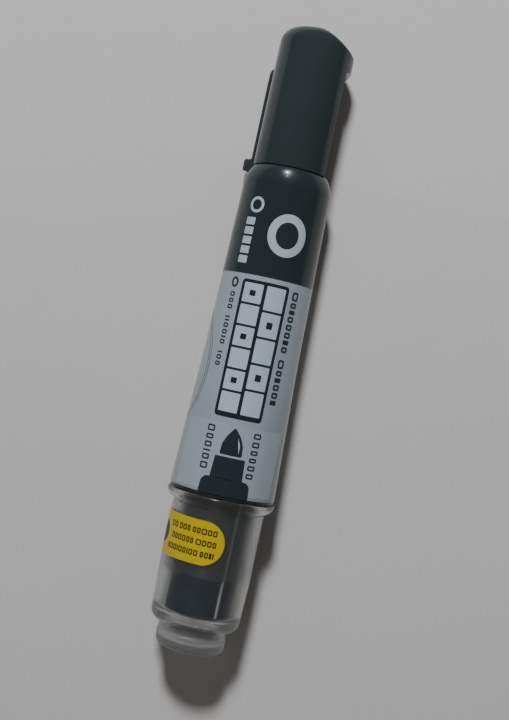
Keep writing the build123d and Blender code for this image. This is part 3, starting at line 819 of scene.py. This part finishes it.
@dataclass
class Barrel:
    """The barrel with its printed film, the grade sticker and all their prints."""

    rack: Rack
    rear: float = 34.5
    rear_r: float = 11.645
    waist: float = 65.7
    waist_r: float = 10.42
    shoulder: float = 102.3
    shoulder_r: float = 9.65
    shoulder_turn: float = 2.306  # length of each side of the corner that the shoulder's round takes up
    foot: float = 106.35
    foot_r: float = 8.15
    wall: float = 1.3
    neck: float = 103.75  # station where the neck's bore widens
    neck_r: float = 6.05
    neck_step_r: float = 6.6
    bore_turn: float = 100.0  # station where the bore turns in under the shoulder
    lip: float = 36.5  # station up to which the rear lip holds the sleeve
    lip_r: float = 9.05
    film_ends: Point = (35.3, 106.3)
    film_step: float = 0.045  # how far the film stands over the foot
    film_mm: float = 0.15
    grade: Point = (35.9, 50.3)
    grade_turn: float = 62.0  # how far the grade sticker reaches each way from the top, in degrees
    grade_mm: float = 0.05
    over_grade: float = 0.055  # height of the prints on it
    ink_mm: float = 0.012

    @property
    def skin(self) -> Skin:
        """The film's outer surface behind the shoulder."""
        return Skin(((self.rear, self.rear_r), (self.waist, self.waist_r), (self.shoulder, self.shoulder_r)))

    def side(self, inset: float) -> list[Corner]:
        """Corners of the barrel's side from the waist to the foot, moved in by an inset.

        Args:
            inset: Distance in from the film's surface.

        Returns:
            The corners.
        """
        corner = self.shoulder + self.shoulder_turn
        return [
            Corner(self.waist, self.waist_r - inset, 1.5, 6),
            Corner(self.shoulder - 2, self.shoulder_r + 0.04 - inset),
            Corner(corner, self.shoulder_r - inset, self.shoulder_turn - 0.02, 18),
        ]

    def shell(self) -> Blank:
        """Turns the barrel under the film.

        Returns:
            The barrel.
        """
        inset = self.film_mm
        wall = inset + self.wall
        outer = [Corner(self.rear, self.rear_r - inset, 0.2, 3), *self.side(inset),
                 Corner(self.foot, self.foot_r - inset, 0.1, 2)]
        inner = [Corner(self.foot, self.neck_r, 0.15, 2), Corner(self.neck, self.neck_r),
                 Corner(self.neck, self.neck_step_r),
                 Corner(self.bore_turn, self.shoulder_r - wall - 0.4, 0.8, 4),
                 Corner(self.waist, self.waist_r - wall), Corner(self.lip, self.rear_r - wall),
                 Corner(self.lip, self.lip_r), Corner(self.rear, self.lip_r, 0.2, 3)]
        return Blank().turn(outer + inner)

    def film(self) -> Blank:
        """Turns the printed film.

        Returns:
            The film.
        """
        rear, front = self.film_ends
        skin, foot_r = self.skin.radius(rear), self.foot_r + self.film_step
        outer = [Corner(rear, skin, 0.05, 2), *self.side(0), Corner(front, foot_r)]
        inner = [Corner(front, foot_r - self.film_mm), *reversed(self.side(self.film_mm)),
                 Corner(rear, skin - self.film_mm)]
        return Blank().turn(outer + inner, FINE_STEPS)

    def light_marks(self) -> Sheet:
        """Draws the pale prints: ring, small roundel, row of blocks and the two rows on the panel.

        Returns:
            The artwork.
        """
        art = Sheet()
        art.ring((91.7, -2.15), (4.6, 4.25), 1.75)
        art.ring((97.1, 5.9), (1.75, 1.75), 0.62, 48)
        art.row((94.3, 6.65), (1.6,) * 5, 0.48, 2.3)
        art.row((80.5, 2.55), (4.2,) * 6, 0.5, 4.2)
        art.row((80.5, -2.4), (5.15,) * 5, 0.5, 4.2)
        return art

    def dark_panel(self) -> Sheet:
        """Draws the dark rounded panel."""
        return Sheet().patch((51.7, 81.2), (-5.2, 5.33), 0.75)

    def panel_windows(self) -> Sheet:
        """Draws the small dark windows inside every second block of the panel.

        Returns:
            The artwork.
        """
        art = Sheet()
        art.row((79.0, 2.55), (1.2, -6.0) * 2 + (1.2,), 1.1, 1.3)
        art.row((73.0, -2.4), (1.45, -7.65, 1.45), 1.1, 1.3)
        return art

    def fine_marks(self) -> Sheet:
        """Draws the small dark rows beside the panel, the long ovals and the block of rows at the back.

        Returns:
            The artwork.
        """
        art = Sheet()
        art.ring((80.1, 7.3), (1.15, 0.95), 0.5, 32)
        art.row((78.0, 7.3), (1.0, 0.9, 1.0, -0.7, 0.34, 0.34, 1.0, 1.0, 0.34, 1.0, -0.7, 0.34, 1.0, 0.9),
                0.42, 1.3, stroke=0.3)
        art.row((80.5, -7.05), (1.9, 1.2, 0.9, 1.3, 1.3, 1.3, 1.0, 1.3, -0.7, 1.9, 1.2, 1.0, 1.3, 1.3, 1.0),
                0.42, 1.6, stroke=0.42)
        for inset in (0.0, 0.75):
            art.ring((61.4, 17.4), (12.2 - inset, 7.7 - inset), 0.17, 128)
        for line in range(7):
            lengths = [1.2 + 0.9 * ((3 * word + 5 * line) % 4) for word in range(9 - line % 3)]
            art.row((80.0, 24.4 + 1.35 * line), lengths, 0.6, 0.6)
        art.patch((37.5, 48.0), (-27.0, -26.6), 0.1)
        for line in range(4):
            lengths = [2.6 + 1.1 * ((line + word) % 3) for word in range(7)]
            art.row((80.0, -21.0 - 2.6 * line), lengths, 0.9, 0.9)
        return art

    def pictogram(self) -> Sheet:
        """Draws the nib's outline with its holder, and the rows of marks on each side.

        Returns:
            The artwork.
        """
        art = Sheet()
        bullet = [(43.95, -2.55), (46.2, -2.4), (48.0, -1.6), (49.3, -0.6), (49.85, -0.1), (49.3, 0.4),
                  (48.0, 1.3), (46.2, 2.1), (43.95, 2.25)]
        art.outline(bullet, 0.28, 3)
        art.outline([(43.5, 3.05), (43.5, -3.45), (38.8, -3.75), (38.8, 3.35)], 0.12, 2)
        art.outline([(39.0, 3.0), (39.0, -3.4), (38.85, -4.8), (38.0, -5.6), (35.32, -5.8), (35.32, 5.3),
                     (38.0, 5.1), (38.85, 4.3)], 0.3, 3)
        art.row((49.6, 5.15), (1.4, 1.1, 1.2, 0.34, 1.2, 1.4), 0.55, 1.7, stroke=0.34)
        art.row((49.5, -5.1), (1.2, 1.2, 1.0, 1.0, 1.1, 1.1), 0.62, 1.7, stroke=0.34)
        return art

    def glint(self) -> Sheet:
        """Draws the pale sliver on the pictogram's nib."""
        return Sheet().outline([(44.5, -1.75), (46.3, -1.72), (47.9, -1.05), (46.4, -1.3)], 0.06, 2)

    def build(self) -> None:
        """Builds and dresses the barrel's outer pieces."""
        rack, skin, ink, body = self.rack, self.skin, self.ink_mm, Body.BARREL
        dress(self.shell(), "barrel_moulding", body, rack.barrel, ("barrel",))
        dress(self.film(), "label_printed_film", body, rack.film, ("label_sleeve",))
        half = skin.radius(sum(self.grade) / 2) * math.radians(self.grade_turn)
        patch = Sheet().patch(self.grade, (-half, half), 0.6).wrap(skin, 0.0, self.grade_mm)
        dress(patch, "grade_sticker_film", body, rack.grade, ("grade_sticker",))
        prints = (
            ("print_light_marks", self.light_marks(), 2.2 * ink, rack.light_print),
            ("print_dark_panel", self.dark_panel(), 0.4 * ink, rack.dark_print),
            ("print_panel_windows", self.panel_windows(), 4 * ink, rack.dark_print),
            ("print_fine_rows", self.fine_marks(), 0.4 * ink, rack.fine_print),
            ("print_nib_pictogram", self.pictogram(), self.over_grade, rack.fine_print),
            ("print_nib_glint", self.glint(), self.over_grade + 2 * ink, rack.light_print),
        )
        for name, art, lift, material in prints:
            dress(art.wrap(skin, lift, ink), name, body, material)


@dataclass
class Core:
    """The working pieces inside the barrel: nib, feed and spike."""

    rack: Rack

    def build(self) -> None:
        """Dresses merged copies of the frame's turned pieces."""
        rack = self.rack
        rows = (
            ("front_collar", Slot.BLACK, rack.collar), ("nib_holder", Slot.BLACK, rack.collar),
            ("nib", Slot.NIB, rack.nib), ("feed_sheath", Slot.FEED, rack.feed),
            ("feed_comb", Slot.FEED, rack.feed), ("feed_wick", Slot.WICK, rack.nib),
            ("spike_carrier", Slot.FEED, rack.feed), ("spike", Slot.SPIKE, rack.steel),
            ("spike_seal", Slot.SEAL, rack.rubber),
        )
        for node, slot, material in rows:
            dress(Blank().like(node), f"{node}_piece", Body.BARREL, material, (node,), crease=32)


@dataclass
class Cartridge:
    """The refill bottle with its ribs, plug and ink, and the sleeve round it."""

    rack: Rack
    rear: float = 7.6
    front: float = 56.0
    radius: float = 7.95
    wall: float = 0.9
    neck_r: float = 3.9
    mouth: float = 61.0
    slope: float = 2.2
    ink_front: float = 52.0
    rib: Point = (8.9, 53.0)
    rib_r: float = 8.12
    rib_half: float = 0.26
    rib_turns: tuple[float, ...] = (31.0, 121.0, 211.0, 301.0)
    sink: float = 0.02  # how far ribs and ink reach into the wall, so that no gap shows
    sleeve_ends: Point = (17.0, 62.0)
    sleeve_r: Point = (8.2, 9.05)

    def profile(self, inset: float) -> list[Corner]:
        """Outline of the bottle, or of its cavity.

        Args:
            inset: Distance in from the bottle's surface.

        Returns:
            The corners from the rear end's middle to the mouth.
        """
        r = self.radius - inset
        return [
            Corner(self.rear + inset, 0), Corner(self.rear + inset, r, 1.5 - 0.5 * inset, 8),
            Corner(self.front - self.slope - 0.5 * inset, r, 0.6, 4),
            Corner(self.front - 0.5 * inset, self.neck_r - inset, 0.4, 3),
            Corner(self.mouth, self.neck_r - inset),
        ]

    def bottle(self) -> Blank:
        """Turns the bottle with its cavity."""
        return Blank().turn(self.profile(0) + list(reversed(self.profile(self.wall))))

    def ribs(self) -> Blank:
        """Makes the four raised lines along the bottle.

        Returns:
            The ribs.
        """
        blank = Blank()
        (rear, front), root = self.rib, self.radius - self.sink
        side = [(rear, root), (front, root), (front, self.rib_r), (rear, self.rib_r)]
        for turn in self.rib_turns:
            blank.plate(side, self.rib_half, turn, (0, 0, 0.1, 0.1), 0.05)
        return blank

    def charge(self) -> Blank:
        """Turns the ink, which wets the bottle's wall and stops at an air space under the neck.

        Returns:
            The ink.
        """
        inset = self.wall - self.sink
        r = self.radius - inset
        return Blank().turn([Corner(self.rear + inset, 0), Corner(self.rear + inset, r, 1.0, 8),
                             Corner(self.ink_front, r, 0.3, 3), Corner(self.ink_front, 0)])

    def sleeve(self) -> Blank:
        """Turns the guiding sleeve.

        Returns:
            The sleeve.
        """
        (rear, front), (inner, outer) = self.sleeve_ends, self.sleeve_r
        return Blank().turn([Corner(rear, inner, 0.1, 2), Corner(rear, outer, 0.15, 2),
                             Corner(front, outer, 0.1, 2), Corner(front, inner, 0.1, 2)])

    def build(self) -> None:
        """Builds and dresses the cartridge and its sleeve."""
        rack = self.rack
        body, plug = Body.CARTRIDGE, Blank().like("cartridge_plug")
        dress(self.bottle(), "cartridge_bottle", body, rack.clear, ("cartridge_body",))
        # The ribs are raised lines; their pale colour is a painted highlight, a lamp's reflection along the
        # bottle.
        dress(self.ribs(), "cartridge_ribs", body, rack.joint)
        dress(self.charge(), "cartridge_ink", body, rack.ink, ("ink_charge",))
        dress(plug, "cartridge_mouth_plug", body, rack.rubber, ("cartridge_plug",))
        dress(self.sleeve(), "cartridge_guide_sleeve", Body.BARREL, rack.sleeve,
              ("cartridge_sleeve",))


@dataclass
class Cover:
    """The see-through rear cover and its yellow sticker."""

    rack: Rack
    front: float = 34.4
    flange_r: float = 11.85
    flange_root: Point = (32.0, 32.4)  # where the flange rises from the tube
    flange_rear: float = 33.4
    tube_r: float = 10.15
    tube_rear: Point = (5.4, 17.0)  # the tube's rear end, and where its taper stops
    tube_rear_r: float = 9.75
    tail_r: float = 7.62
    tail_land: float = 3.4
    waist: float = 3.85
    waist_r: float = 7.4
    bore_r: Point = (9.05, 9.15)  # at its rear and at its mouth
    bore_rear: float = 8.4
    well: Point = (1.8, 6.6)  # the narrow well behind the cartridge
    well_r: Point = (6.1, 6.4)
    yellow: Point = (19.9, 29.3)
    yellow_turn: Point = (-17.0, 112.0)
    paper_mm: float = 0.07
    over_paper: float = 0.075  # height of the prints on it
    ink_mm: float = 0.012

    @property
    def skin(self) -> Skin:
        """The tube's outer surface under the sticker."""
        return Skin(tuple((station, self.tube_r) for station in self.yellow))

    def shell(self) -> Blank:
        """Turns the cover with its well.

        Returns:
            The cover.
        """
        (rear, taper_end), (root, rise), (floor, step) = self.tube_rear, self.flange_root, self.well
        outer = [
            Corner(0, 0), Corner(0, self.tail_r, 1.6, 9), Corner(self.tail_land, self.tail_r, 0.35, 3),
            Corner(self.waist, self.waist_r, 0.35, 4), Corner(rear, self.waist_r, 0.5, 4),
            Corner(rear, self.tube_rear_r, 2.1, 12), Corner(taper_end, self.tube_r, 1.0, 2),
            Corner(root, self.tube_r, 0.5, 4), Corner(rise, self.flange_r - 0.7, 0.25, 3),
            Corner(self.flange_rear, self.flange_r, 0.3, 3), Corner(self.front, self.flange_r, 0.25, 3),
        ]
        inner = [
            Corner(self.front, self.bore_r[1], 0.2, 3), Corner(self.bore_rear, self.bore_r[0], 1.0, 8),
            Corner(step, self.well_r[1], 0.5, 5), Corner(floor, self.well_r[0], 1.2, 7), Corner(floor, 0),
        ]
        return Blank().turn(outer + inner, FINE_STEPS)

    def sticker(self) -> Blank:
        """Cuts and wraps the round-ended sticker.

        Returns:
            The sticker.
        """
        rear, front = self.yellow
        near, far = (self.tube_r * math.radians(turn) for turn in self.yellow_turn)
        half = (front - rear) / 2
        art = Sheet()
        art.patch(self.yellow, (near + half, far), 0.0)
        art.ring((rear + half, near + half), (half, half), half, 96)
        return art.wrap(self.skin, 0.0, self.paper_mm)

    def rows(self) -> Blank:
        """Draws the sticker's rows of marks and its dark roundel.

        Returns:
            The wrapped artwork.
        """
        art = Sheet()
        for station, start, lengths in (
            (27.0, 10.7, (1.0, 0.9, -0.15, 0.9, 0.9, 0.7, -0.15, 0.8, 0.8, 1.2, 0.9, 0.9)),
            (24.6, 9.9, (0.9, 0.8, 0.9, 0.9, 0.8, 0.7, -0.15, 1.2, 0.9, 0.9, 0.8)),
            (22.2, 10.7, (0.7, 0.9, 0.9, 0.3, 0.9, 0.8, 0.3, 0.9, 0.9, -0.15, 0.7, 0.8, 0.5, 0.3)),
        ):
            art.row((station, start), lengths, 0.22, 1.25, along_arc=True, stroke=0.26)
        art.ring((24.6, 14.2), (2.5, 2.5), 2.5, 64)
        return art.wrap(self.skin, self.over_paper, self.ink_mm)

    def build(self) -> None:
        """Builds and dresses the cover's pieces."""
        rack, body = self.rack, Body.COVER
        dress(self.shell(), "rear_cover_moulding", body, rack.cover, ("rear_cover",))
        dress(self.sticker(), "yellow_notice_sticker", body, rack.yellow, ("warning_sticker",))
        dress(self.rows(), "yellow_notice_rows", body, rack.yellow_print)


# ---- surroundings ----
@dataclass
class Studio:
    """Desk top, lights and camera."""

    rack: Rack
    lean: float = 12.2  # how far the marker leans from the picture's upright, in degrees
    camera_over_axis: float = 0.263
    camera_station: float = 64.65
    camera_side: float = -0.00086
    lens: float = 60.0
    sensor: float = 36.0
    desk_low: float = 33.9  # station where the marker rests on its flange
    desk_high: float = 108.0  # station past which the desk is level
    desk_slope: float = 0.0318  # rise of the desk towards the cap, which meets the marker's taper
    desk_half: float = 1.2
    room_tone: str = "#e8e3dc"
    room_light: float = 0.14

    def desk(self) -> None:
        """Lays the desk top so that the tapering marker rests on it."""
        mesh = bmesh.new()
        bmesh.ops.create_grid(mesh, x_segments=1, y_segments=1, size=self.desk_half)
        low, high = SPINDLE.x(self.desk_low), SPINDLE.x(self.desk_high)
        slice_mesh(mesh, (high, 0, 0), (1, 0, 0), 1e-6)
        for vert in mesh.verts:
            vert.co.z = (min(vert.co.x, high) - low) * self.desk_slope
        data = bpy.data.meshes.new("desk_top")
        mesh.to_mesh(data)
        mesh.free()
        data.materials.append(self.rack.desk)
        new_object("desk_top", data)

    def lamp(self, name: str, towards: Vector, distance: float, size: float, power: float,
             tone: str, gleam: bool = False) -> bpy.types.Object:
        """Hangs a soft square lamp that faces the marker.

        Args:
            name: Name of the lamp.
            towards: Direction of the lamp from the marker.
            distance: Its distance in metres.
            size: Its side in metres.
            power: Its power in watts.
            tone: Its colour.
            gleam: True for a lamp that shows only in gleams, False for one that shows in none.

        Returns:
            The lamp.
        """
        light = bpy.data.lights.new(name, "AREA")
        light.shape, light.size, light.energy = "SQUARE", size, power
        light.color = linear(tone)[:3]
        lamp = new_object(name, light)
        lamp.location = towards.normalized() * distance
        lamp.rotation_mode = "QUATERNION"
        lamp.rotation_quaternion = towards.to_track_quat("Z", "Y")
        lamp.visible_camera = False
        lamp.visible_glossy = gleam
        lamp.visible_diffuse = lamp.visible_transmission = not gleam
        return lamp

    def lights(self) -> None:
        """Hangs the lamps and gives the room its pale light."""
        self.lamp("main_lamp", Vector((0.76, 0.21, 1.0)), distance=0.8, size=0.1, power=6.35, tone="#fcfdff")
        varnished = bpy.data.collections.new("varnished")
        varnished.objects.link(bpy.data.objects["label_printed_film"])
        for name, height, size, power in (("far_lamp", 0.6, 0.05, 3.6), ("far_lamp_high", 0.95, 0.03, 0.35)):
            lamp = self.lamp(name, Vector((0.99, 0.14, height)), 0.9, size, power, "#ffffff", gleam=True)
            lamp.light_linking.receiver_collection = varnished
        world = bpy.data.worlds.new("pale_room")
        world.use_nodes = True
        background = world.node_tree.nodes["Background"]
        background.inputs["Color"].default_value = linear(self.room_tone)
        background.inputs["Strength"].default_value = self.room_light
        bpy.context.scene.world = world

    def camera(self) -> None:
        """Sets the camera straight above the marker, turned so that it leans as it should."""
        turn = math.radians(self.lean)
        right = Vector((math.sin(turn), -math.cos(turn), 0))
        up = Vector((math.cos(turn), math.sin(turn), 0))
        height = SPINDLE.height + self.camera_over_axis
        spot = Vector((SPINDLE.x(self.camera_station), self.camera_side, height))
        data = bpy.data.cameras.new("camera")
        data.lens, data.sensor_width, data.clip_start = self.lens, self.sensor, 0.01
        camera = new_object("camera", data)
        axes = Matrix((right, up, (0, 0, 1))).transposed().to_4x4()
        camera.matrix_world = Matrix.Translation(spot) @ axes
        bpy.context.scene.camera = camera

    def build(self) -> None:
        """Sets up everything round the marker."""
        self.desk()
        self.lights()
        self.camera()
        LOG.info("studio ready")


def main() -> None:
    logging.basicConfig(level=logging.INFO, format="%(message)s")
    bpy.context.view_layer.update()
    rack = Rack()
    for assembly in (Cap(rack), Barrel(rack), Core(rack), Cartridge(rack), Cover(rack), Studio(rack)):
        assembly.build()


if __name__ == "__main__":
    main()
